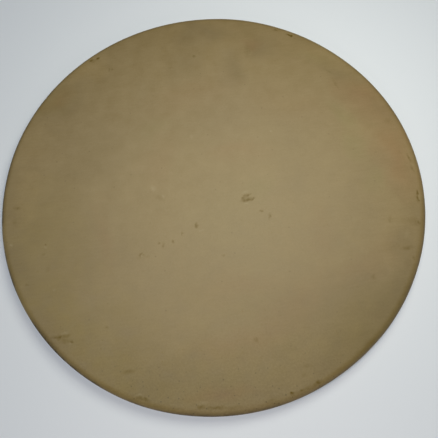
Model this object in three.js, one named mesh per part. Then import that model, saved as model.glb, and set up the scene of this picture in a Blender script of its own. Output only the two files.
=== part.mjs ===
// Round baking stone: one pressed and fired slab of unglazed stoneware.
// Millimetres, +Z up. The origin is on the surface that the stone stands on, under its centre.

import * as THREE from 'three';

// Driving dimensions.
const DIAMETER = 381; // 15 inches, a standard size of round baking stone
const SLAB_THICKNESS = 12.7; // half an inch, from the underside to the baking face
const FOOT_HEIGHT = 2; // how far the foot ring stands below the underside
const FOOT_RADIUS = 160; // from the centre to the middle of the foot ring
const FOOT_SOLE_WIDTH = 8; // the flat band that the stone stands on

// How finely the round shapes are drawn.
const TURN_STEPS = 160; // around the stone, one every 2.25 degrees
const RIM_STEPS = 12; // along the half circle of the rim
const FILLET_STEPS = 3; // along each quarter circle beside the foot ring

// Sizes that follow from the driving dimensions.
const UNDERSIDE_Z = FOOT_HEIGHT;
const BAKING_FACE_Z = UNDERSIDE_Z + SLAB_THICKNESS;
const RIM_RADIUS = SLAB_THICKNESS / 2; // the rim is a full round, as tall as the slab
const FOOT_FILLET = FOOT_HEIGHT / 2; // two fillets, one above the other, fill the foot ring's height

// Points along an arc in the (radius, height) half-plane, with both of its ends. Angles are in degrees.
function arc(centreR, centreZ, radius, fromDegrees, toDegrees, steps) {
  const points = [];
  for (let i = 0; i <= steps; i++) {
    const angle = THREE.MathUtils.degToRad(fromDegrees + ((toDegrees - fromDegrees) * i) / steps);
    points.push(new THREE.Vector2(centreR + radius * Math.cos(angle), centreZ + radius * Math.sin(angle)));
  }
  return points;
}

// The foot ring's outer flank, from its sole up to the underside. A round edge and a hollow fillet meet in a
// soft S, because pressed clay leaves the mould only where every edge is eased.
function footOuterFlank() {
  const soleEdge = FOOT_RADIUS + FOOT_SOLE_WIDTH / 2;
  const roundEdge = arc(soleEdge, FOOT_FILLET, FOOT_FILLET, -90, 0, FILLET_STEPS);
  const hollow = arc(soleEdge + 2 * FOOT_FILLET, UNDERSIDE_Z - FOOT_FILLET, FOOT_FILLET, 180, 90, FILLET_STEPS);
  return [...roundEdge, ...hollow.slice(1)];
}

// The inner flank is the outer one mirrored about the middle of the ring, so it runs from the underside down.
function footInnerFlank() {
  return footOuterFlank()
    .map((point) => new THREE.Vector2(2 * FOOT_RADIUS - point.x, point.y))
    .reverse();
}

// What is turned about the axis: underside, foot ring, underside again, full round rim and baking face.
function slabOutline() {
  return [
    new THREE.Vector2(0, UNDERSIDE_Z),
    ...footInnerFlank(),
    ...footOuterFlank(),
    ...arc(DIAMETER / 2 - RIM_RADIUS, UNDERSIDE_Z + RIM_RADIUS, RIM_RADIUS, -90, 90, RIM_STEPS),
    new THREE.Vector2(0, BAKING_FACE_Z),
  ];
}

const unglazedStoneware = new THREE.MeshStandardMaterial({
  name: 'unglazed_stoneware',
  color: 0x8f7f5b, // buff clay, browned by baking oil
  roughness: 0.75,
  metalness: 0,
});

// The whole stone is one piece of clay, so it is one solid. A lathe turns about Y, and a quarter turn about X
// stands its axis along Z.
function bakingStone() {
  const geometry = new THREE.LatheGeometry(slabOutline(), TURN_STEPS);
  geometry.rotateX(Math.PI / 2);
  const stone = new THREE.Mesh(geometry, unglazedStoneware);
  stone.name = 'baking_stone';
  return stone;
}

const group = new THREE.Group();
group.name = 'round_baking_stone';
group.add(bakingStone());

export default group;
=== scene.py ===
# %% [markdown]
# # A round baking stone
# A baking stone is a thick disc of unglazed stoneware that lives in a hot oven. It stores heat, draws the
# steam out of a crust, and slowly turns from pale clay to olive brown as baking oil soaks in. This notebook
# dresses the measured solid of one such stone: it builds a finer slab over it, ages the clay, and lights it.
# The measured solid comes first, because everything else is placed from it and in its own frame, in metres.

# %% Load the measured solid
import math

import bpy
import numpy as np
from mathutils import Matrix, Vector, noise
from mathutils.bvhtree import BVHTree


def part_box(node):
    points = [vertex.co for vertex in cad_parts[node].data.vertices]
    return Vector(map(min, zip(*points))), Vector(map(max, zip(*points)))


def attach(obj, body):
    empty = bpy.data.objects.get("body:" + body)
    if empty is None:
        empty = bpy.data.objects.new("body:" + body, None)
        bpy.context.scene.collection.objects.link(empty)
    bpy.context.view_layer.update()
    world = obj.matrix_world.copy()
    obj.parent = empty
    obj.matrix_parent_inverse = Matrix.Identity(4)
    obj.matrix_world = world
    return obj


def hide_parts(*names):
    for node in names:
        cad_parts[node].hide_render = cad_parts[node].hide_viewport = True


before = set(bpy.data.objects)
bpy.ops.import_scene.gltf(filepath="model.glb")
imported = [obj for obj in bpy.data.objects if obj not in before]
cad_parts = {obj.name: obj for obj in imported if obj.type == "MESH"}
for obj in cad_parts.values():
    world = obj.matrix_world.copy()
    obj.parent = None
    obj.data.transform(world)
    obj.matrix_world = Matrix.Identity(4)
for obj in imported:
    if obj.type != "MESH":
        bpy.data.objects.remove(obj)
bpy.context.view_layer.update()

# %% [markdown]
# ## The sizes of the slab
# The solid says how wide the stone is and how high its baking face lies. Three sizes of its shape can't be
# read from a box, so they are written down here once more: the foot ring's height, place and width. The rim
# of a pressed stone is a full round, so its radius is half of the slab's thickness and needs no number.

# %% Name the sizes, in metres
MM = 0.001
low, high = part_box("baking_stone")
STONE_RADIUS = (high.x - low.x) / 2
BAKING_FACE_Z = high.z
FOOT_HEIGHT = 2.0 * MM
FOOT_RADIUS = 160 * MM
FOOT_SOLE_WIDTH = 8 * MM
SLAB_THICKNESS = BAKING_FACE_Z - FOOT_HEIGHT
RIM_RADIUS = SLAB_THICKNESS / 2
RIM_CENTRE_Z = FOOT_HEIGHT + RIM_RADIUS
FLAT_RADIUS = STONE_RADIUS - RIM_RADIUS
print(f"disc {STONE_RADIUS * 2 / MM:.1f} mm across, slab {SLAB_THICKNESS / MM:.1f} mm thick")

# %% [markdown]
# ## The camera
# The photograph looks down at the stone from about 70 degrees, with a phone's wide lens from about 40 cm,
# and it is turned a few degrees. The stone's edge is a circle of known size, so its outline in the picture,
# an ellipse, settles where the camera stood once the lens is chosen. Marks on the stone are placed by their
# pixels, so the camera comes before them: a pixel becomes a ray, and the ray meets the stone.

# %% Stand the camera where the photographer stood
PICTURE_SIDE = 438  # the photograph is this many pixels wide and high
SENSOR = 36.0  # mm
LENS = 37.0  # mm, about what a phone's main camera sees
CAMERA_ELEVATION = math.radians(71.38)
CAMERA_DISTANCE = 401.4 * MM
CAMERA_AIM = Vector((4.8 * MM, -28.7 * MM, RIM_CENTRE_Z))
CAMERA_ROLL = math.radians(-3.97)

forward = Vector((0, math.cos(CAMERA_ELEVATION), -math.sin(CAMERA_ELEVATION)))
camera_data = bpy.data.cameras.new("camera")
camera_data.lens = LENS
camera_data.sensor_width = SENSOR
camera = bpy.data.objects.new("camera", camera_data)
bpy.context.scene.collection.objects.link(camera)
camera.location = CAMERA_AIM - forward * CAMERA_DISTANCE
upright = forward.to_track_quat("-Z", "Y").to_matrix()
camera.rotation_euler = (upright @ Matrix.Rotation(CAMERA_ROLL, 3, "Z")).to_euler()
bpy.context.scene.camera = camera
bpy.context.view_layer.update()
print("camera at", [round(c / MM) for c in camera.location], "mm")


# %% Send a ray through a pixel
def ray_through(pixel_x, pixel_y):
    """Where the ray through a pixel of the photograph starts, and which way it goes."""
    half = PICTURE_SIDE / 2
    sensor = Vector((pixel_x + 0.5 - half, half - pixel_y - 0.5, -LENS / SENSOR * PICTURE_SIDE))
    return camera.matrix_world.translation, (camera.matrix_world.to_3x3() @ sensor).normalized()


PICTURE_MIDDLE = ((PICTURE_SIDE - 1) / 2, (PICTURE_SIDE - 1) / 2)
print("the picture's middle looks along", [round(c, 3) for c in ray_through(*PICTURE_MIDDLE)[1]])

# %% [markdown]
# ## The slab as a mesh
# A lathe would turn this disc in one step, but its cells shrink to needles at the centre, and the slightly
# uneven clay needs cells of one size. So the flat faces are a square net that is bent into a disc, and the
# rim and foot ring are hoops of cells hung on the net's edge. Below, where nothing fine shows, one hoop
# joins every two edges into one, and the net under it is half as dense.

# %% Bend a square net into a disc
def round_net(cells):
    """x and y of a net of cells x cells whose edge is the unit circle, as two (cells+1, cells+1) arrays."""
    steps = np.linspace(-1, 1, cells + 1)
    across, along = np.meshgrid(steps, steps)
    wide = np.abs(across) > np.abs(along)
    reach = np.where(wide, across, along)
    other = np.where(wide, along, across)
    share = np.divide(other, reach, out=np.zeros_like(reach), where=reach != 0)
    turn = np.where(wide, share, 2 - share) * math.pi / 4
    return reach * np.cos(turn), reach * np.sin(turn)


def edge_loop(cells, first):
    """Vertex numbers round a net's edge, anticlockwise from its corner at -45 degrees."""
    n = cells + 1
    numbers = first + np.arange(n * n).reshape(n, n)
    return np.concatenate([numbers[:-1, -1], numbers[-1, :0:-1], numbers[:0:-1, 0], numbers[0, :-1]])


# %% Draw the outline that the hoops follow
def arc(centre_r, centre_z, radius, from_degrees, to_degrees, steps):
    """(r, z) points along an arc, without its first point, which the hoop before it already has."""
    angles = np.radians(np.linspace(from_degrees, to_degrees, steps + 1)[1:])
    return [(centre_r + radius * math.cos(a), centre_z + radius * math.sin(a)) for a in angles]


RIM_STEPS, FOOT_STEPS = 16, 3  # cells along the half round of the rim, and along a quarter round of the foot
NEXT_HOOP = 6 * MM  # on the flat underside, from one hoop inwards to the next
foot_fillet = FOOT_HEIGHT / 2  # each flank of the foot ring is an S of two quarter rounds of this radius
sole_in, sole_out = FOOT_RADIUS - FOOT_SOLE_WIDTH / 2, FOOT_RADIUS + FOOT_SOLE_WIDTH / 2
foot_in, foot_out = sole_in - 2 * foot_fillet, sole_out + 2 * foot_fillet
rim_outline = arc(FLAT_RADIUS, RIM_CENTRE_Z, RIM_RADIUS, 90, -90, RIM_STEPS)
rim_outline.append((FLAT_RADIUS - NEXT_HOOP, FOOT_HEIGHT))
foot_outline = (
    [(foot_out + foot_fillet, FOOT_HEIGHT), (foot_out, FOOT_HEIGHT)]
    + arc(foot_out, foot_fillet, foot_fillet, 90, 180, FOOT_STEPS)
    + arc(sole_out, foot_fillet, foot_fillet, 0, -90, FOOT_STEPS)
    + [(FOOT_RADIUS, 0.0), (sole_in, 0.0)]
    + arc(sole_in, foot_fillet, foot_fillet, 270, 180, FOOT_STEPS)
    + arc(foot_in, foot_fillet, foot_fillet, 0, 90, FOOT_STEPS)
    + [(foot_in - 3 * foot_fillet, FOOT_HEIGHT)]
)
print(len(rim_outline), "hoops round the rim,", len(foot_outline), "round the foot ring")

# %% Join nets and hoops into one closed mesh
FACE_CELLS = 240  # across the baking face: cells of about 1.5 mm, and 4 times as many round the edge
points, faces = [], []


def add_net(cells, radius, z, looks_up):
    """Adds a flat net and returns its edge loop."""
    first = len(points)
    x, y = round_net(cells)
    points.extend(zip((x * radius).ravel(), (y * radius).ravel(), [z] * x.size))
    n = cells + 1
    corner = (first + np.arange(n * n).reshape(n, n))[:-1, :-1].ravel()
    quads = np.stack([corner, corner + 1, corner + n + 1, corner + n], axis=1)
    faces.extend((quads if looks_up else quads[:, ::-1]).tolist())
    return edge_loop(cells, first)


def add_hoop(count, r, z):
    """Adds a ring of vertices at the net's own angles and returns their numbers."""
    first = len(points)
    angles = np.radians(-45) + np.arange(count) * 2 * math.pi / count
    points.extend(zip(r * np.cos(angles), r * np.sin(angles), [z] * count))
    return np.arange(first, first + count)


def bridge(inner, outer):
    """Faces between two rings of equal count, or from one ring to another of half its count."""
    if len(inner) == len(outer):
        faces.extend(np.stack([inner, outer, np.roll(outer, -1), np.roll(inner, -1)], axis=1).tolist())
    else:
        a, b, c = inner[0::2], inner[1::2], np.roll(inner, -2)[0::2]
        faces.extend(np.stack([a, outer, np.roll(outer, -1), c, b], axis=1).tolist())


ring = add_net(FACE_CELLS, FLAT_RADIUS, BAKING_FACE_Z, looks_up=True)
for r, z in rim_outline:
    next_ring = add_hoop(4 * FACE_CELLS, r, z)
    bridge(ring, next_ring)
    ring = next_ring
for r, z in foot_outline:
    next_ring = add_hoop(2 * FACE_CELLS, r, z)
    bridge(ring, next_ring)
    ring = next_ring
under_radius = foot_outline[-1][0] - NEXT_HOOP
bridge(ring, add_net(FACE_CELLS // 2, under_radius, FOOT_HEIGHT, looks_up=False))

slab_mesh = bpy.data.meshes.new("stone_slab")
slab_mesh.from_pydata(points, [], faces)
slab_mesh.validate()
slab_mesh.shade_smooth()
triangles = sum(len(p.vertices) - 2 for p in slab_mesh.polygons)
print(len(slab_mesh.vertices), "vertices,", triangles, "triangles")

# %% [markdown]
# ## What pressing and years of use did to the shape
# A mould gives a true circle, but a damp slab is lifted out by hand and fired, so the real edge wanders by
# half a millimetre and the face is flat only to a few tenths. Knocks against sinks and racks have dented the
# shoulder, where the face turns into the rim. A bump in the material would only change the shading, so each
# of these moves real vertices, and the shape is there from every side.

# %% Swell the edge where the photographed outline swells
SWELL_ZONE = 0.15  # the outer share of the radius that moves with the edge
EDGE_BULGES = {  # direction in degrees anticlockwise from the right, how far out in mm, width in degrees
    "front_left": (-112, 0.3, 9),
    "front_right_flat": (-57, -0.5, 12),
    "right_front": (-20, 0.15, 9),
    "left_flat": (176, -0.4, 10),
    "back_left": (140, 0.15, 14),
    "back": (78, 0.4, 9),
    "back_right_flat": (46, -0.3, 12),
}
co = np.array([v.co for v in slab_mesh.vertices])
heading = np.degrees(np.arctan2(co[:, 1], co[:, 0]))
from_centre = np.hypot(co[:, 0], co[:, 1])
near_edge = np.clip((from_centre / STONE_RADIUS - 1 + SWELL_ZONE) / SWELL_ZONE, 0, 1) ** 2
swell = np.zeros(len(co))
for direction, out_mm, width in EDGE_BULGES.values():
    off = (heading - direction + 180) % 360 - 180
    swell += out_mm * MM * np.exp(-((off / width) ** 2))
off_centre = np.maximum(from_centre, MM)  # at least a millimetre, so that the middle doesn't divide by zero
co[:, :2] *= (1 + swell * near_edge / off_centre)[:, None]
print(f"the edge wanders from {swell.min() / MM:.2f} to {swell.max() / MM:.2f} mm")

# %% [markdown]
# Knocks and marks have to lie where the photograph shows them. One near the edge lies on the round of the
# rim, a millimetre or two below the face, so a pixel's ray is followed until it meets the stone itself, and
# not only the plane of the face.

# %% Find the place on the stone that shows at a pixel
stone_tree = BVHTree.FromPolygons(co.tolist(), faces)


def on_stone(pixel_x, pixel_y):
    """The point of the stone that shows at a pixel of the photograph."""
    start, direction = ray_through(pixel_x, pixel_y)
    return stone_tree.ray_cast(start, direction)[0]


print("the picture's middle shows", [round(c / MM) for c in on_stone(*PICTURE_MIDDLE)], "mm")

# %% Dent the shoulder where it was knocked
KNOCKS = {  # pixel x and y, length along the rim, width and depth in mm
    "knock_back_left": (93, 60, 7.0, 2.0, 0.5),
    "knock_back": (290, 36, 5.0, 2.0, 0.4),
    "knock_right_upper": (417, 198, 6.0, 1.8, 0.4),
    "knock_right_lower": (417, 217, 3.0, 1.8, 0.3),
    "knock_front": (200, 407, 3.0, 2.2, 0.4),
    "knock_front_right": (318, 382, 3.0, 2.2, 0.4),
    "knock_front_left": (143, 398, 4.0, 2.0, 0.3),
}
slab_mesh.vertices.foreach_set("co", co.ravel())
slab_mesh.update()
normals = np.array([v.normal for v in slab_mesh.vertices])
sunk = np.zeros(len(co))
for pixel_x, pixel_y, length, width, depth in KNOCKS.values():
    knock = on_stone(pixel_x, pixel_y)
    out = Vector((knock.x, knock.y)).normalized()
    across = (co[:, 0] - knock.x) * out.x + (co[:, 1] - knock.y) * out.y
    along = (co[:, 1] - knock.y) * out.x - (co[:, 0] - knock.x) * out.y
    fade = np.exp(-((along / (length * MM / 2)) ** 2) - (across / (width * MM / 2)) ** 2)
    sunk += depth * MM * fade * (co[:, 2] > RIM_CENTRE_Z)
print(f"knocks up to {sunk.max() / MM:.2f} mm deep")

# %% Leave the face a little uneven
WAVE_LENGTH = 70 * MM  # from one low place to the next
WAVE_DEPTH = 0.15 * MM
above_sole = np.clip((co[:, 2] - FOOT_HEIGHT) / SLAB_THICKNESS, 0, 1)
wave = np.array([noise.noise(Vector(p) / WAVE_LENGTH) for p in co]) * WAVE_DEPTH * above_sole
co += normals * (wave - sunk)[:, None]
slab_mesh.vertices.foreach_set("co", co.ravel())
slab_mesh.update()
print(f"face uneven by {np.ptp(wave) / MM:.2f} mm")

# %% [markdown]
# The finished mesh becomes one object. It is tied to the only body there is and stands in for the plain
# solid.

# %% Stand the slab in the frame in place of the plain solid
slab = bpy.data.objects.new("stone_slab", slab_mesh)
bpy.context.scene.collection.objects.link(slab)
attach(slab, "root")
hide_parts("baking_stone")
print("the slab rides on root and replaces the solid")

# %% [markdown]
# ## Helpers for the finishes
# Colours are picked as sRGB hex, as a paint program shows them, and a shader works in linear light, so one
# function turns the first into the second. Another adds a node, sets it and links it in one line. Patterns
# are given by the real distance between two of their features, and a texture node wants repeats per metre.

# %% Turn a hex colour to linear, add a node, and turn a real size to a scale
MIX_A, MIX_B, MIX_OUT = 6, 7, 2  # the colour sockets of a Mix node, whose sockets share their names


def linear(hex_colour):
    """"#rrggbb" in sRGB as linear red, green, blue and alpha."""
    parts = [int(hex_colour[i:i + 2], 16) / 255 for i in (1, 3, 5)]
    return tuple(p / 12.92 if p <= 0.04045 else ((p + 0.055) / 1.055) ** 2.4 for p in parts) + (1.0,)


def add(tree, kind, inputs=None, **settings):
    """A node with its settings. inputs holds values, or sockets to link, by input name or number."""
    node = tree.nodes.new("ShaderNode" + kind)
    for name, value in settings.items():
        setattr(node, name, value)
    for name, value in (inputs or {}).items():
        if isinstance(value, bpy.types.NodeSocket):
            tree.links.new(value, node.inputs[name])
        else:
            node.inputs[name].default_value = value
    return node


def per(size_mm):
    """The texture scale whose features lie size_mm apart."""
    return 1 / (size_mm * MM)


print("#808080 is", [round(c, 3) for c in linear("#808080")])

# %% [markdown]
# ## The clay: seasoned, unglazed stoneware
# Stoneware is clay pressed in a mould and fired until it is hard but still porous. It has no glaze, so it
# scatters light widely, and only a weak, broad sheen shows where oil has filled the pores. The colour is not
# one colour: oil has baked in most at the rim, and heat has left warmer, greener and yellower clouds. The
# material is built in layers: seasoning with painted shade towards the rim, clouds, the body of the clay, a
# line of painted shade round the rim, marks and the underside.

# %% Start the clay's material and the places that its patterns use
clay = bpy.data.materials.new("seasoned_unglazed_stoneware")
clay.use_nodes = True
tree = clay.node_tree
tree.nodes.clear()
place = add(tree, "TexCoord").outputs["Object"]
axes = add(tree, "SeparateXYZ", {0: place})


def ragged(feature_mm, reach_mm):
    """The place pushed about sideways by noise, so that what is drawn with it gets a ragged outline."""
    noise_inputs = {"Vector": place, "Scale": per(feature_mm), "Detail": 2.0}
    push = add(tree, "TexNoise", noise_inputs, normalize=False).outputs["Color"]
    reach = (reach_mm * MM, reach_mm * MM, 0)
    return add(tree, "VectorMath", {0: push, 1: reach, 2: place}, operation="MULTIPLY_ADD").outputs[0]


ragged_finely = ragged(feature_mm=3, reach_mm=0.9)
ragged_widely = ragged(feature_mm=40, reach_mm=12)
print("marks get outlines ragged by about a millimetre, clouds by some millimetres")

# %% [markdown]
# ### Seasoning and painted shade
# Dough and its oil cover the middle, where a scraper also cleans it again. At the rim the oil stays and
# bakes in, so the clay is yellowest there. The rim is also darker, partly with that oil and partly with
# painted shade, where the light falls off towards the edge. The distance from the axis runs from the
# middle's colour to the rim's, squared so that the change gathers near the rim. The place is widely ragged,
# which keeps the change from being a circle.

# %% Season the clay and paint it darker from the middle to the rim
MIDDLE_CLAY = "#988158"  # pale olive brown
SHADED_RIM_CLAY = "#7f683d"  # the same clay, yellower with oil, and darker with oil and painted shade
SEASONED_TO = 1.05  # of the stone's radius
CLEANEST_PLACE = (-3 * MM, -6 * MM, 0)  # a little off the middle

outwards = add(tree, "VectorMath", {0: ragged_widely, 1: CLEANEST_PLACE}, operation="SUBTRACT").outputs[0]
outwards = add(tree, "VectorMath", {0: outwards, 1: (1, 1, 0)}, operation="MULTIPLY").outputs[0]
from_axis = add(tree, "VectorMath", {0: outwards}, operation="LENGTH").outputs["Value"]
ramp = add(tree, "MapRange", {"Value": from_axis, "From Max": SEASONED_TO * STONE_RADIUS}).outputs[0]
# The ramp is partly oil and partly painted shade, where the light falls off towards the rim.
seasoning_and_shade = add(tree, "Math", {0: ramp, 1: 2.0}, operation="POWER").outputs[0]
colour = add(tree, "Mix", {
    "Factor": seasoning_and_shade, MIX_A: linear(MIDDLE_CLAY), MIX_B: linear(SHADED_RIM_CLAY),
}, data_type="RGBA").outputs[MIX_OUT]
print("seasoned from", MIDDLE_CLAY, "to", SHADED_RIM_CLAY)

# %% [markdown]
# ### Spots that lie at a place
# Clouds of colour, baked-on residue and scuffs all lie where the photograph shows them. They could be
# painted on an image, but a few nodes keep them sharp from any distance and easy to change. Every texture
# node has a small mapping of its own, and a spherical gradient is 1 in the middle of a ball and 0 outside
# it. Its mapping moves the ball under a pixel, turns it and squeezes it to the spot's length and width, so
# one node draws one soft spot and a second one adds it to the rest. The ball is only some millimetres high,
# so the underside of the stone stays clean.

# %% Turn a list of spots into one mask
SPOT_REACH = 9 * MM  # half the height of a spot's ball


def spots(ragged_place, marks):
    """Soft spots, added up. A mark is: pixel x and y, length and width in mm, turn in degrees, strength."""
    total = 0.0
    for pixel_x, pixel_y, length, width, turn, strength in marks.values():
        ball = add(tree, "TexGradient", {"Vector": ragged_place}, gradient_type="SPHERICAL")
        ball.texture_mapping.vector_type = "TEXTURE"
        ball.texture_mapping.translation = on_stone(pixel_x, pixel_y)
        ball.texture_mapping.rotation = (0, 0, math.radians(turn))
        ball.texture_mapping.scale = (length / 2 * MM, width / 2 * MM, SPOT_REACH)
        spot = add(tree, "Math", {0: ball.outputs["Fac"], 1: strength, 2: total}, operation="MULTIPLY_ADD")
        total = spot.outputs[0]
    print(len(marks), "spots, from", min(marks), "to", max(marks))
    return total


def tint(colour, mask, hex_colour, blend="MIX"):
    """The colour mixed towards another one, or multiplied with it, by a mask."""
    inputs = {"Factor": mask, MIX_A: colour, MIX_B: linear(hex_colour)}
    mix = add(tree, "Mix", inputs, data_type="RGBA", blend_type=blend, clamp_factor=False)
    return mix.outputs[MIX_OUT]


print("a spot's ball reaches", round(SPOT_REACH / MM), "mm down into the stone")

# %% [markdown]
# Some parts of the clay are a little redder, greener or yellower than the rest. A near white in that hue is
# multiplied with the clay's colour, so the clay keeps its tone and its grain under the cloud.

# %% Cloud the clay where heat and oil have coloured it
WARM = "#fff4f1"  # the clay's colour times this: reddish, where the oven burnt oil off again
COOL = "#fafff9"  # greenish, where thin oil lies on the clay
YELLOW = "#fffff0"  # yellowish, where the oil has gone deeper
WARM_CLOUDS = {
    "back_right_edge": (360, 96, 84, 46, -40, 1.2),
    "right_edge_upper": (386, 138, 70, 44, -61, 1.1),
    "right_edge_lower": (395, 170, 64, 38, -76, 1.2),
    "back": (252, 40, 34, 18, -15, 0.8),
    "back_left": (60, 100, 30, 22, 50, 0.7),
    "back_left_arc": (192, 92, 110, 44, 22, 0.35),
    "back_right_arc": (292, 104, 110, 60, -15, 0.3),
    "front": (222, 390, 70, 20, 0, 1.0),
    "front_middle": (240, 342, 110, 34, 8, 0.5),
    "front_right_arc": (300, 304, 110, 34, 40, 0.45),
    "right_front_arc": (368, 262, 90, 30, 38, 0.4),
    "below_middle_arc": (248, 287, 110, 34, 10, 0.35),
    "right_of_middle": (326, 234, 36, 80, -12, 0.3),
    "left_middle": (104, 238, 24, 90, 0, 0.5),
    "left_arc": (160, 160, 34, 90, -20, 0.3),
    "upper_middle": (240, 150, 60, 24, 0, 0.5),
}
COOL_CLOUDS = {
    "right_inside_upper": (340, 116, 60, 22, -45, 1.2),
    "right_inside_middle": (357, 144, 44, 20, -60, 1.1),
    "right_inside_lower": (376, 184, 40, 16, -80, 0.9),
    "back_right_rim": (312, 54, 70, 20, -25, 0.8),
    "beside_smudge": (262, 186, 46, 30, 30, 0.6),
    "middle": (232, 214, 120, 100, 0, 0.3),
    "left_inside": (150, 130, 50, 30, 40, 0.5),
}
YELLOW_CLOUDS = {
    "front_left": (64, 326, 190, 60, -46, 1.6),
    "front_left_edge": (134, 380, 130, 46, -20, 1.0),
    "front_left_inside": (104, 318, 140, 80, -45, 0.8),
    "front": (206, 386, 210, 80, 0, 1.4),
    "front_right": (368, 336, 180, 60, 44, 1.45),
    "front_right_inside": (318, 338, 120, 50, 30, 0.65),
    "left": (40, 236, 90, 150, 0, 1.3),
    "back_left": (56, 102, 44, 34, 50, 1.4),
    "front_wide": (215, 338, 260, 110, 0, 0.3),
    "left_wide": (82, 196, 70, 150, 0, 0.25),
    "back_washed_out": (225, 100, 100, 120, 0, -0.25),
}
colour = tint(colour, spots(ragged_widely, WARM_CLOUDS), WARM, "MULTIPLY")
colour = tint(colour, spots(ragged_widely, COOL_CLOUDS), COOL, "MULTIPLY")
colour = tint(colour, spots(ragged_widely, YELLOW_CLOUDS), YELLOW, "MULTIPLY")

# %% [markdown]
# The same spots also make the clay darker or paler, patch by patch: darker mostly in front and along the
# back edge, and paler along the right edge and the left. Here a strength is the share by which the tone
# rises or falls, so a dark cloud has a minus.

# %% Darken and lighten the front of the face
TONES_IN_FRONT = {
    "front_right": (362, 318, 190, 90, 38, -0.11),
    "front_right_rim": (380, 330, 150, 30, 48, -0.11),
    "front_right_band": (328, 310, 80, 40, 12, -0.04),
    "front_edge": (218, 388, 210, 70, 0, -0.08),
    "front_edge_left": (158, 376, 80, 44, -8, -0.1),
    "front_edge_middle": (226, 378, 34, 24, 0, -0.05),
    "front_edge_right": (296, 378, 90, 40, 20, -0.05),
    "lower_middle": (290, 300, 90, 70, 0, -0.03),
    "front_left_inside": (170, 310, 200, 100, -10, 0.05),
    "front_left_rim": (64, 318, 50, 30, -40, 0.04),
    "front_right_edge": (394, 288, 60, 28, 66, -0.06),
    "front_right_low": (332, 350, 50, 26, 28, -0.09),
    "front_right_side": (366, 330, 90, 26, 52, -0.04),
    "front_right_inside": (374, 288, 50, 40, 60, -0.03),
    "front_right_pale": (292, 368, 30, 22, 0, 0.06),
    "front_left_pale": (160, 352, 60, 40, 0, 0.04),
    "front_left_low_pale": (174, 383, 44, 24, 0, 0.06),
    "front_left_dark": (96, 318, 34, 34, 0, -0.04),
    "front_left_spot": (173, 362, 22, 18, 0, -0.06),
    "front_middle_dark": (262, 364, 66, 26, 5, -0.04),
}
print(len(TONES_IN_FRONT), "clouds of tone in front")

# %% Darken and lighten the left
TONES_ON_THE_LEFT = {
    "left_edge": (28, 150, 50, 90, -10, 0.16),
    "left_edge_inside": (58, 154, 40, 60, -20, 0.06),
    "left_edge_front": (22, 198, 40, 70, 0, 0.17),
    "left_inside": (40, 186, 34, 40, 0, 0.08),
    "left_front_edge": (30, 256, 36, 60, 0, -0.03),
    "left_middle": (98, 284, 60, 50, 0, 0.04),
    "left_of_middle": (152, 220, 120, 120, 0, 0.05),
    "left_front": (16, 256, 30, 54, 0, -0.05),
    "left_front_inside": (56, 266, 30, 24, 0, 0.04),
    "left_low_pale": (38, 216, 34, 22, 0, 0.05),
    "left_of_middle_dark": (112, 214, 20, 34, 0, -0.03),
    "left_edge_pale": (38, 174, 44, 18, 0, 0.05),
    "left_edge_dark": (26, 194, 20, 16, 0, -0.06),
}
print(len(TONES_ON_THE_LEFT), "clouds of tone on the left")

# %% Darken and lighten the back
TONES_AT_THE_BACK = {
    "back_left_corner": (64, 106, 50, 40, 40, -0.08),
    "back_left_inside": (105, 140, 120, 90, 30, -0.05),
    "back_left_edge": (84, 72, 60, 36, 40, 0.2),
    "back_left_dark": (146, 92, 50, 50, 0, -0.04),
    "back": (232, 112, 230, 110, 0, -0.07),
    "back_rim": (204, 34, 74, 26, 0, -0.14),
    "back_edge_1": (186, 60, 44, 70, 0, -0.09),
    "back_edge_2": (262, 46, 46, 36, -20, -0.12),
    "back_inside": (232, 68, 44, 50, 0, -0.11),
    "back_right_inside": (292, 136, 70, 80, 0, -0.05),
    "back_right_edge": (322, 50, 110, 34, -30, 0.1),
    "back_right_dark": (330, 70, 40, 26, -40, -0.07),
    "back_edge_dark": (188, 30, 48, 18, 8, -0.08),
    "back_middle_dark": (234, 60, 30, 26, 0, -0.04),
    "back_dark_spot": (206, 42, 34, 26, 0, -0.08),
    "back_right_line": (366, 92, 60, 16, -45, 0.09),
    "back_right_pale": (282, 100, 50, 30, 0, 0.04),
}
print(len(TONES_AT_THE_BACK), "clouds of tone at the back")

# %% Darken and lighten the right
TONES_ON_THE_RIGHT = {
    "right_edge_upper": (366, 130, 80, 60, -60, 0.1),
    "right_edge": (404, 160, 44, 120, 16, 0.17),
    "right": (392, 215, 50, 110, -4, 0.09),
    "right_front_edge": (398, 238, 30, 40, 0, -0.06),
    "right_of_middle": (302, 180, 44, 60, 0, -0.05),
    "right_inside": (332, 230, 50, 50, 0, -0.03),
    "right_dark": (366, 200, 34, 40, 0, -0.04),
    "right_front_side": (402, 262, 76, 26, 73, -0.08),
    "right_pale": (388, 180, 34, 26, 0, 0.04),
}
print(len(TONES_ON_THE_RIGHT), "clouds of tone on the right")

# %% Add the clouds of tone up
TONE_CLOUDS = TONES_IN_FRONT | TONES_ON_THE_LEFT | TONES_AT_THE_BACK | TONES_ON_THE_RIGHT
tone = add(tree, "Math", {0: spots(ragged_widely, TONE_CLOUDS), 1: 1.0}).outputs[0]

# %% [markdown]
# ### The body of the clay
# Pressed stoneware is a mix of fine clay and sand, so its tone wanders a little at every scale: in clouds of
# a hand's width, in dapples of a fingertip, and in grains. The real grains are about 0.3 mm, which is finer
# than a pixel here, so they are drawn at 1.5 mm to show at all. They show most along the front edge, where
# sliding bread has worn the clay down to its sand.

# %% Mottle the clay with clouds, dapples and grains
CLOUD, DAPPLE, GRAIN = 80, 14, 1.5  # mm from one to the next
CLOUD_TONE, DAPPLE_TONE, GRAIN_TONE = 0.02, 0.08, 0.04  # how far each moves the tone, as a share of it
FRONT_GRAIN_TONE = 0.14  # at the very front edge
FRONT_GRAIN_FROM = 0.55  # of the stone's radius towards the front, where the grain starts to come out


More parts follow.
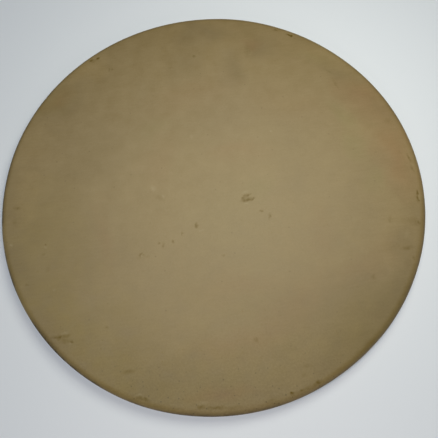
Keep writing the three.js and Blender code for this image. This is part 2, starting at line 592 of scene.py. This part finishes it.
def wander(size_mm, detail):
    """Noise around zero with features of that size."""
    noise_inputs = {"Vector": place, "Scale": per(size_mm), "Detail": detail, "Roughness": 0.55}
    return add(tree, "TexNoise", noise_inputs, normalize=False).outputs["Fac"]


cloud, dapple, grain = wander(CLOUD, detail=3.0), wander(DAPPLE, detail=4.0), wander(GRAIN, detail=2.0)
mottle = add(tree, "Math", {0: cloud, 1: CLOUD_TONE}, operation="MULTIPLY").outputs[0]
mottle = add(tree, "Math", {0: dapple, 1: DAPPLE_TONE, 2: mottle}, operation="MULTIPLY_ADD").outputs[0]
front_grain = add(tree, "MapRange", {
    "Value": axes.outputs["Y"], "From Min": -FRONT_GRAIN_FROM * STONE_RADIUS, "From Max": -STONE_RADIUS,
    "To Min": GRAIN_TONE, "To Max": FRONT_GRAIN_TONE,
}).outputs[0]
mottle = add(tree, "Math", {0: grain, 1: front_grain, 2: mottle}, operation="MULTIPLY_ADD").outputs[0]
print("clouds, dapples and grains at", CLOUD, DAPPLE, GRAIN, "mm")

# %% [markdown]
# The scraper and the crusts that slide over the stone leave faint strokes, mostly from left to right and
# mostly near the rim, where more oil has baked on to be scratched. A noise whose own mapping stretches it
# eight times sideways draws them.

# %% Draw faint scraper strokes
STROKE_WIDTH = 1.6  # mm
STROKE_STRETCH = 8  # times as long as wide
STROKE_TURN = math.radians(4)
STROKE_TONE_IN_THE_MIDDLE, STROKE_TONE_MORE_AT_THE_RIM = 0.01, 0.05
noise_inputs = {"Vector": ragged_finely, "Scale": per(STROKE_WIDTH), "Detail": 3.0}
strokes = add(tree, "TexNoise", noise_inputs, normalize=False)
strokes.texture_mapping.vector_type = "TEXTURE"
strokes.texture_mapping.scale = (STROKE_STRETCH, 1, STROKE_STRETCH)
strokes.texture_mapping.rotation = (0, 0, STROKE_TURN)
stroke_tone = add(tree, "Math", {
    0: seasoning_and_shade, 1: STROKE_TONE_MORE_AT_THE_RIM, 2: STROKE_TONE_IN_THE_MIDDLE,
}, operation="MULTIPLY_ADD").outputs[0]
mottle = add(tree, "Math", {
    0: strokes.outputs["Fac"], 1: stroke_tone, 2: mottle,
}, operation="MULTIPLY_ADD").outputs[0]
print("strokes of", STROKE_WIDTH, "by", STROKE_STRETCH * STROKE_WIDTH, "mm")

# %% [markdown]
# Clouds, dapples, grains and strokes all show where oil lies thicker or thinner, and oil takes most from
# blue and least from red. So the tone that they make is spread over the three colours by those shares, and a
# dark dapple comes out browner instead of greyer.

# %% Lay the tone of clouds and mottle on the colour
OIL_TAKES = (0.8, 1.0, 1.8)  # from red, green and blue, as shares of the tone
browned = {0: mottle, 1: OIL_TAKES, 2: (1, 1, 1)}
browned = add(tree, "VectorMath", browned, operation="MULTIPLY_ADD").outputs[0]
for layer in (tone, browned):
    colour = add(tree, "VectorMath", {0: colour, 1: layer}, operation="MULTIPLY").outputs[0]
print("oil takes", OIL_TAKES, "from red, green and blue")

# %% [markdown]
# Dark iron specks and small pinholes sit inside the clay, and the surface cuts through them. That is how
# they are drawn too: a three-dimensional scatter of small balls, cut by the surface. It gives large and
# small ones and bare clay between them with no more numbers.

# %% Scatter iron specks and pinholes through the clay
BALL_CORE = 0.4  # the share of a ball's radius within which its mask is full
IRON = "#5c4226"
IRON_STRENGTH = 0.3  # how far a speck's colour goes towards iron
IRON_SPACING, PINHOLE_SPACING = 13, 7  # mm


def cut_balls(spacing_mm, radius_mm):
    """A mask of the balls of that radius that the surface cuts, about one in a cube of that spacing."""
    cells = add(tree, "TexVoronoi", {"Vector": place, "Scale": per(spacing_mm)}).outputs["Distance"]
    edge = radius_mm / spacing_mm
    return add(tree, "MapRange", {"Value": cells, "From Min": edge, "From Max": BALL_CORE * edge}).outputs[0]


iron_specks = cut_balls(IRON_SPACING, radius_mm=0.9)
pinholes = cut_balls(PINHOLE_SPACING, radius_mm=0.55)
iron_shade = add(tree, "Math", {0: iron_specks, 1: IRON_STRENGTH}, operation="MULTIPLY").outputs[0]
colour = tint(colour, iron_shade, IRON)
print("an iron speck in each", IRON_SPACING, "mm of clay, a pinhole in each", PINHOLE_SPACING, "mm")

# %% [markdown]
# Bread goes in and out over the front edge, so flour falls there and burns on in specks. They are a finer
# scatter of the same cut balls, and they fade out towards the middle.

# %% Strew burnt flour along the front edge
BURNT_FLOUR = "#4d3d12"
FLOUR_SPACING = 5  # mm
FLOUR_FROM, FLOUR_FULL = 0.7, 0.95  # of the stone's radius towards the front
FLOUR_STRENGTH = 0.8
flour_lies = add(tree, "MapRange", {
    "Value": axes.outputs["Y"], "To Max": FLOUR_STRENGTH,
    "From Min": -FLOUR_FROM * STONE_RADIUS, "From Max": -FLOUR_FULL * STONE_RADIUS,
}).outputs[0]
flour_specks = cut_balls(FLOUR_SPACING, radius_mm=0.75)
flour = add(tree, "Math", {0: flour_specks, 1: flour_lies}, operation="MULTIPLY").outputs[0]
colour = tint(colour, flour, BURNT_FLOUR)
print("a speck of burnt flour in each", FLOUR_SPACING, "mm along the front edge")

# %% [markdown]
# ### The round of the rim
# A thin line of painted shade runs round the widest part of the rim, where the round turns away from the
# light and its lower half lies in its own shadow. Its strength follows the height: nothing where the face
# ends, and full a little above half the slab's thickness. The line is darkest on the left, where less light
# reaches it, and hardly there on the right. Crumbs keep the belt from being even.

# %% Break the rim's painted shade and the residue up into crumbs
CRUMB = 2.2  # mm from one dark crumb to the next
NOISE_LOW, NOISE_HIGH = 0.35, 0.65  # a noise around 0.5 seldom leaves this range
THIN_CRUMB, THICK_CRUMB = 0.7, 1.6  # the least and the most that a layer is multiplied with
crumbs = add(tree, "TexNoise", {"Vector": place, "Scale": per(CRUMB), "Detail": 2.0}).outputs["Fac"]
crumbly = add(tree, "MapRange", {
    "Value": crumbs, "From Min": NOISE_LOW, "From Max": NOISE_HIGH,
    "To Min": THIN_CRUMB, "To Max": THICK_CRUMB,
}).outputs[0]
print("crumbs", CRUMB, "mm apart")

# %% Paint shade on the widest part of the rim
# The colour of the painted shade on the rim's round.
RIM_SHADE = "#2e2517"
SHADE_ON_THE_RIGHT, SHADE_ON_THE_LEFT = 0.12, 0.85
SHADE_GROWS_FROM = 0.5  # of the stone's radius to the right of the middle, and on to the left edge
SHADE_IS_FULL_AT = RIM_CENTRE_Z + 0.4 * RIM_RADIUS
FACE_WITHOUT_SHADE = 0.97  # of the flat face's radius, and of the underside's
height = axes.outputs["Z"]
by_height = add(tree, "MapRange", {
    "Value": height, "From Min": BAKING_FACE_Z, "From Max": SHADE_IS_FULL_AT,
}).outputs[0]
by_side = add(tree, "MapRange", {
    "Value": axes.outputs["X"], "From Min": SHADE_GROWS_FROM * STONE_RADIUS, "From Max": -STONE_RADIUS,
    "To Min": SHADE_ON_THE_RIGHT, "To Max": SHADE_ON_THE_LEFT,
}).outputs[0]
at_rim = add(tree, "MapRange", {
    "Value": from_axis, "From Min": FACE_WITHOUT_SHADE * FLAT_RADIUS, "From Max": FLAT_RADIUS,
}).outputs[0]
rim_shade = by_height
for share in (at_rim, by_side, crumbly):
    rim_shade = add(tree, "Math", {0: rim_shade, 1: share}, operation="MULTIPLY", use_clamp=True).outputs[0]
# Painted shade: the rim's round is darkened as a thin line, strongest on the left.
colour = tint(colour, rim_shade, RIM_SHADE)
print("char from", round(BAKING_FACE_Z / MM, 1), "mm down, full at", round(SHADE_IS_FULL_AT / MM, 1), "mm")

# %% [markdown]
# ### Marks of use
# Cheese, sugar and burnt flour leave hard brown spots that never quite come off, and the scraper that takes
# them off leaves paler scuffs. Each one is named after its place and set by its pixel in the photograph. The
# turn is in degrees, anticlockwise, and the strength says how far the clay's colour moves to the mark's.

# %% Find the residue in the middle of the face
RESIDUE_IN_THE_MIDDLE = {
    "smudge_top": (247.0, 194.7, 10.0, 3.4, 20, 0.36),
    "smudge_left": (242.8, 197.4, 6.0, 4.0, 40, 0.44),
    "smudge_middle": (246.5, 198.0, 13.0, 4.4, 5, 0.26),
    "smudge_lower_lip": (245.6, 200.1, 13.0, 3.6, 4, 0.44),
    "smudge_tail": (252.2, 198.4, 8.0, 2.8, 20, 0.34),
    "smudge_tip": (241.2, 199.2, 4.0, 2.4, 10, 0.14),
    "dot_by_smudge": (261.1, 210.4, 5.0, 3.6, 0, 0.28),
    "dash_by_smudge": (269.2, 215.8, 8.4, 3.6, 86, 0.32),
    "middle_dot": (195.8, 225.0, 6.6, 4.6, 85, 0.45),
    "dots_trail_1": (181.5, 233.2, 5.6, 2.8, 88, 0.24),
    "dots_trail_2": (172.5, 241.4, 4.6, 4.0, -58, 0.3),
    "dots_trail_3": (163.0, 244.9, 6.4, 3.2, 80, 0.21),
    "dots_trail_4": (158.0, 242.8, 4.4, 3.2, 90, 0.33),
    "left_of_middle_hook": (139.5, 254.9, 2.6, 4.4, 0, 0.38),
    "left_of_middle_hook_top": (140.6, 253.4, 4.0, 2.6, 20, 0.3),
    "left_of_middle_dot": (143.3, 254.5, 3.0, 2.8, 0, 0.2),
    "left_of_middle_shade": (139.5, 257.4, 10.0, 3.4, 0, 0.08),
    "left_of_middle_shade_end": (146.5, 256.2, 8.0, 3.0, 0, 0.1),
    "below_middle": (222.8, 255.0, 4.0, 3.0, 0, 0.14),
    "upper_left_red_dot": (159.0, 197.0, 13.0, 6.6, -31, 0.11),
}
print(len(RESIDUE_IN_THE_MIDDLE), "marks in the middle")

# %% Find the residue in front
RESIDUE_IN_FRONT = {
    "front_dot": (255.8, 339.3, 6.0, 3.6, -51, 0.26),
    "front_left_dot": (106.0, 327.4, 4.8, 3.0, -26, 0.2),
    "front_left_smear_1": (54.3, 336.8, 9.0, 3.6, 3, 0.32),
    "front_left_smear_2": (59.3, 337.4, 5.4, 3.6, 35, 0.36),
    "front_left_smear_3": (65.5, 335.6, 8.0, 3.4, 10, 0.38),
    "front_left_smear_shade": (64.0, 340.0, 18.0, 7.0, -25, 0.22),
    "front_left_smear_end": (71.4, 341.3, 4.0, 3.4, 0, 0.38),
    "front_smear": (128.3, 371.4, 13.0, 4.8, 3, 0.29),
    "front_knock_stain": (142.7, 398.2, 13.0, 3.8, -18, 0.52),
    "front_edge_streak_1": (200.5, 406.5, 8.0, 4.4, 0, 0.52),
    "front_edge_streak_2": (215.5, 407.4, 20.0, 3.6, 0, 0.4),
    "front_edge_streak_3": (233.0, 407.2, 18.0, 3.4, 2, 0.22),
    "front_edge_dot": (291.3, 393.1, 4.0, 3.6, 0, 0.86),
    "front_edge_dash_dot": (301.3, 389.6, 4.0, 3.0, 20, 0.3),
    "front_edge_dash": (305.0, 388.3, 13.0, 3.4, 22, 0.24),
    "front_edge_smudge": (271.3, 399.5, 17.0, 6.4, 20, 0.16),
    "front_right_knock_dot": (317.9, 381.6, 4.2, 3.6, 0, 0.8),
    "front_right_knock_stain": (316.5, 382.4, 10.0, 4.2, 29, 0.3),
    "front_right_stain_1": (356.4, 350.6, 9.0, 4.4, 47, 0.07),
    "front_right_stain_2": (366.0, 341.3, 11.0, 4.8, 47, 0.05),
    "front_right_smear_1": (306.5, 365.5, 10.0, 4.0, 10, 0.14),
    "front_right_smear_2": (304.0, 374.0, 8.0, 5.0, 40, 0.14),
}
print(len(RESIDUE_IN_FRONT), "marks in front")

# %% Find the residue on the right
RESIDUE_ON_THE_RIGHT = {
    "right_edge_upper_stain_1": (416.6, 192.4, 8.0, 3.0, -92, 0.76),
    "right_edge_upper_stain_2": (417.3, 198.4, 9.0, 3.2, -96, 0.68),
    "right_edge_lower_dot": (418.4, 222.4, 4.4, 2.8, -80, 0.4),
    "right_edge_lower_stain": (413.5, 221.2, 15.0, 9.6, -24, 0.15),
    "right_smear": (406.4, 247.3, 13.0, 5.0, 8, 0.25),
    "right_dot": (413.1, 257.2, 5.4, 3.2, 90, 0.25),
    "right_inner_dash": (389.7, 218.5, 8.0, 4.4, 73, 0.2),
    "right_back_dash_1": (408.6, 157.6, 12.0, 3.6, -71, 0.36),
    "right_back_dash_2": (411.4, 167.6, 11.0, 3.4, -75, 0.3),
    "right_lower_streak": (400.0, 219.5, 34.0, 8.0, -4, 0.07),
    "right_smear_shade": (395.0, 246.0, 40.0, 12.0, 2, 0.08),
    "right_smear_shade_end": (409.0, 262.0, 20.0, 9.0, 60, 0.07),
    "right_front_dot": (372.9, 276.5, 6.4, 5.4, -77, 0.22),
}
print(len(RESIDUE_ON_THE_RIGHT), "marks on the right")

# %% Find the residue at the back
RESIDUE_AT_THE_BACK = {
    "back_dot": (193.5, 55.9, 5.0, 3.8, 3, 0.42),
    "back_left_dots_1": (108.7, 69.2, 2.8, 5.4, 0, 0.32),
    "back_left_dots_2": (111.4, 69.0, 2.8, 5.4, 0, 0.27),
    "back_left_dash": (170.0, 67.5, 8.0, 2.6, 0, 0.14),
    "back_left_nick_1": (90.8, 60.2, 6.0, 2.4, 28, 0.75),
    "back_left_nick_2": (97.4, 57.9, 4.4, 3.0, 20, 0.65),
    "back_left_nick_stain": (94.0, 60.0, 16.0, 5.0, 27, 0.16),
    "back_nick": (288.4, 34.4, 9.0, 2.6, -28, 0.95),
    "back_nick_end": (290.6, 35.4, 4.0, 2.6, -25, 1.0),
    "back_edge_stain": (275.0, 29.8, 9.0, 3.0, -12, 0.5),
    "back_smear": (246.5, 50.0, 8.0, 22.0, -8, 0.14),
    "back_right_line": (335.3, 83.9, 17.0, 3.2, -72, 0.18),
    "back_right_line_end": (328.0, 71.0, 12.0, 3.2, -35, 0.18),
    "back_left_patch": (66.2, 93.1, 11.0, 7.0, 36, 0.1),
    "back_right_patch": (387.5, 120.5, 9.0, 8.0, -20, 0.16),
}
print(len(RESIDUE_AT_THE_BACK), "marks at the back")

# %% Find the residue on the left
RESIDUE_ON_THE_LEFT = {
    "left_dash_upper": (16.4, 207.9, 10.0, 4.2, -3, 0.3),
    "left_dash_lower": (14.1, 221.8, 5.0, 8.0, 0, 0.14),
    "left_dot": (44.7, 244.1, 3.2, 2.8, 0, 0.34),
    "left_dot_below": (43.3, 254.0, 4.4, 2.8, 0, 0.2),
    "left_patch": (47.5, 267.5, 6.0, 9.0, 0, 0.1),
    "left_edge_dash": (26.5, 284.6, 4.4, 2.4, 0, 0.24),
}
print(len(RESIDUE_ON_THE_LEFT), "marks on the left")

# %% Bake the residue on
RESIDUE = "#5b4608"
BAKED_ON = RESIDUE_IN_THE_MIDDLE | RESIDUE_IN_FRONT | RESIDUE_ON_THE_RIGHT
BAKED_ON = BAKED_ON | RESIDUE_AT_THE_BACK | RESIDUE_ON_THE_LEFT
baked_on = spots(ragged_finely, BAKED_ON)
residue = add(tree, "Math", {0: baked_on, 1: crumbly}, operation="MULTIPLY", use_clamp=True).outputs[0]
colour = tint(colour, residue, RESIDUE)

# %% Scuff the clay pale where the scraper went
SCUFF = "#b5a27c"
SCUFFS = {
    "upper_left_of_middle": (152.8, 188.2, 8.0, 6.0, -60, 0.3),
    "upper_left_of_middle_2": (163.0, 196.0, 3.4, 5.0, 0, 0.32),
    "above_smudge": (244.9, 191.2, 10.0, 4.6, 20, 0.2),
    "below_smudge": (246.2, 203.2, 6.0, 3.0, 0, 0.24),
    "left_of_middle": (141.2, 255.4, 3.0, 2.6, 0, 0.2),
    "back_of_middle": (190.9, 136.3, 3.6, 6.6, 0, 0.18),
    "back_right_of_middle": (270.5, 130.5, 3.6, 3.0, 0, 0.34),
    "right_of_middle_dot": (200.9, 229.4, 8.0, 2.6, 0, 0.2),
    "front_edge": (202.7, 402.4, 11.0, 4.8, 7, 0.15),
    "front_left_smear_top": (64.5, 332.4, 10.0, 4.4, 16, 0.17),
    "front_left_smear_foot": (69.9, 343.3, 4.4, 3.4, 0, 0.18),
    "front_left_edge": (139.4, 394.5, 6.0, 3.2, -6, 0.19),
    "left_dot_edge": (45.4, 246.6, 5.0, 2.8, -20, 0.18),
    "left_edge_chip_1": (10.6, 244.5, 4.4, 3.2, 0, 0.3),
    "left_edge_chip_2": (20.8, 287.0, 4.0, 3.6, 0, 0.04),
    "left_edge_chip_3": (23.0, 284.3, 2.8, 2.6, 0, 0.05),
    "left_edge_chip_4": (53.5, 289.5, 2.8, 4.4, 0, 0.15),
    "right": (406.6, 233.0, 5.0, 11.0, -20, 0.08),
}
scuffed = spots(ragged_finely, SCUFFS)
colour = tint(colour, scuffed, SCUFF)

# %% [markdown]
# ### Underside
# No oil reaches the underside, so it keeps the pale colour of the fired clay, and the rim's brown fades out
# round the turn below. Only the foot ring touches the oven's rack, and sliding has rubbed grey metal into
# its sole. Both follow the height, and the dapples of the clay make the oil's edge ragged.

# %% Leave the underside pale
BARE_CLAY = "#a8966f"
OIL_FADES_AT = RIM_CENTRE_Z - 0.35 * RIM_RADIUS
BARE_AT = FOOT_HEIGHT + 0.15 * RIM_RADIUS
RAGGED_OIL = 0.5  # how far the dapples move the oil's edge
below = add(tree, "MapRange", {"Value": height, "From Min": OIL_FADES_AT, "From Max": BARE_AT}).outputs[0]
oil_line = add(tree, "Math", {
    0: dapple, 1: RAGGED_OIL, 2: below,
}, operation="MULTIPLY_ADD", use_clamp=True).outputs[0]
bare = add(tree, "Math", {0: oil_line, 1: below}, operation="MULTIPLY").outputs[0]
colour = tint(colour, bare, BARE_CLAY)
print("oil fades from", round(OIL_FADES_AT / MM, 1), "mm, bare clay below", round(BARE_AT / MM, 1), "mm")

# %% Rub the sole grey
RUBBED_SOLE = "#7f7563"
RUBBED_BELOW = 0.5 * MM
RUB_STRENGTH = 0.7
rubbed = add(tree, "MapRange", {
    "Value": height, "From Min": RUBBED_BELOW, "From Max": 0.0, "To Max": RUB_STRENGTH,
}).outputs[0]
colour = tint(colour, rubbed, RUBBED_SOLE)
print("the sole is rubbed below", RUBBED_BELOW / MM, "mm")

# %% [markdown]
# ### Sheen and relief
# Roughness starts at a typical value for oiled, unglazed clay and wanders with the dapples. Residue is dry,
# so it is rougher and takes most of the sheen away where it lies. The rim's painted shade is rougher too and
# takes the sheen away as well, which darkens that line further. The bare clay underneath is rougher too. The
# relief is added up in millimetres, so each part can be compared with the real thing: sand grains stand up
# by hundredths, pinholes go in by tenths, and residue stands proud. The bump node then gets a distance of 1
# mm.

# %% Vary the sheen and the roughness
SHEEN = 0.5  # the usual level of a shader's sheen
SHEEN_LOST = 0.8  # the share that residue and the rim's painted shade take away
ROUGHNESS = 0.62
# The painted shade on the rim also takes the sheen away, which darkens that line further.
dull = add(tree, "Math", {0: residue, 1: rim_shade}, operation="ADD", use_clamp=True).outputs[0]
sheen = add(tree, "Math", {0: dull, 1: -SHEEN_LOST * SHEEN, 2: SHEEN}, operation="MULTIPLY_ADD").outputs[0]
rough = ROUGHNESS
for part, rougher_by in ((dapple, 0.06), (dull, 0.2), (below, 0.15)):
    rough = add(tree, "Math", {0: part, 1: rougher_by, 2: rough}, operation="MULTIPLY_ADD").outputs[0]
print("roughness about", ROUGHNESS)

# %% Raise the relief and finish the material
STONEWARE_IOR = 1.5  # typical for fired clay
relief = 0.0
for part, height_mm in ((grain, 0.02), (dapple, 0.06), (pinholes, -0.15), (residue, 0.08)):
    relief = add(tree, "Math", {0: part, 1: height_mm, 2: relief}, operation="MULTIPLY_ADD").outputs[0]
bump = add(tree, "Bump", {"Height": relief, "Distance": 1 * MM})
surface = add(tree, "BsdfPrincipled", {
    "Base Color": colour, "Roughness": rough, "Specular IOR Level": sheen, "IOR": STONEWARE_IOR,
    "Normal": bump.outputs["Normal"],
})
add(tree, "OutputMaterial", {"Surface": surface.outputs[0]})
slab_mesh.materials.append(clay)
print("the clay has", len(tree.nodes), "nodes")

# %% [markdown]
# ## The floor
# A photographer's studio has a sheet of matte white paper under the thing that is shown. Paper scatters
# light evenly and hardly shines, so it takes a soft shadow and no reflection. The sheet is so large that its
# edge shows from no side.

# %% Lay the floor
FLOOR_SIZE = 40  # metres
PAPER_WHITE = "#e5e3e4"
PAPER_ROUGHNESS = 0.8
paper = bpy.data.materials.new("matte_white_paper")
paper.use_nodes = True
paper_shader = paper.node_tree.nodes["Principled BSDF"]
paper_shader.inputs["Base Color"].default_value = linear(PAPER_WHITE)
paper_shader.inputs["Roughness"].default_value = PAPER_ROUGHNESS
bpy.ops.mesh.primitive_plane_add(size=FLOOR_SIZE)
floor = bpy.context.object
floor.name = "floor"
floor.data.materials.append(paper)
print("the floor is", FLOOR_SIZE, "m wide")

# %% [markdown]
# ## Soft studio light
# The photograph has no hard shadow: a soft one falls to the front left, and the disc is brightest a little
# right of its middle. A softbox low over the right half gives both. Daylight from far up on the left fills
# the whole floor with cooler light. It is a sun, which is equally bright everywhere, so that the floor stays
# pale as far as any camera looks, and its wide disc makes its shadows as soft as those of a large window. A
# small fill in front keeps the near edge from a dark outline.


# %% Hang the lights
def hang(lamp, place_mm, hex_colour):
    """Puts a lamp at a place and turns it to the stone. No camera sees the lamp itself."""
    lamp.color = linear(hex_colour)[:3]
    holder = bpy.data.objects.new(lamp.name, lamp)
    bpy.context.scene.collection.objects.link(holder)
    holder.location = Vector(place_mm) * MM
    to_stone = Vector((0, 0, BAKING_FACE_Z)) - holder.location
    holder.rotation_euler = to_stone.to_track_quat("-Z", "Y").to_euler()
    holder.visible_camera = False
    print(lamp.name, "at", place_mm, "mm")


def soft_light(name, place_mm, size_mm, watts, hex_colour):
    """A round softbox that looks at the stone."""
    lamp = bpy.data.lights.new(name, "AREA")
    lamp.shape = "DISK"
    lamp.size = size_mm * MM
    lamp.energy = watts
    hang(lamp, place_mm, hex_colour)


soft_light("softbox_over_the_right", (130, 100, 420), size_mm=320, watts=1.2, hex_colour="#fafff4")
soft_light("fill_in_front", (0, -420, 300), size_mm=200, watts=0.31, hex_colour="#fff7f7")
daylight = bpy.data.lights.new("daylight_on_the_left", "SUN")
daylight.energy = 1.43  # watts on a square metre that faces it
daylight.angle = math.radians(14.7)  # across its disc
hang(daylight, (-1170, 0, 4500), "#e8f4ff")

# %% [markdown]
# Past the floor's far edge a camera near the floor would look into black. The world gives it the far floor's
# own colour instead. It lights nothing, because its light on diffuse and glossy surfaces is off.

# %% Put a pale distance behind the floor
FAR_FLOOR = "#979da3"
world = bpy.data.worlds.new("pale_distance")
world.use_nodes = True
world.node_tree.nodes["Background"].inputs["Color"].default_value = linear(FAR_FLOOR)
bpy.context.scene.world = world
world.cycles_visibility.diffuse = False
world.cycles_visibility.glossy = False
bpy.context.scene.view_settings.view_transform = "Standard"
print("the distance is", FAR_FLOOR)
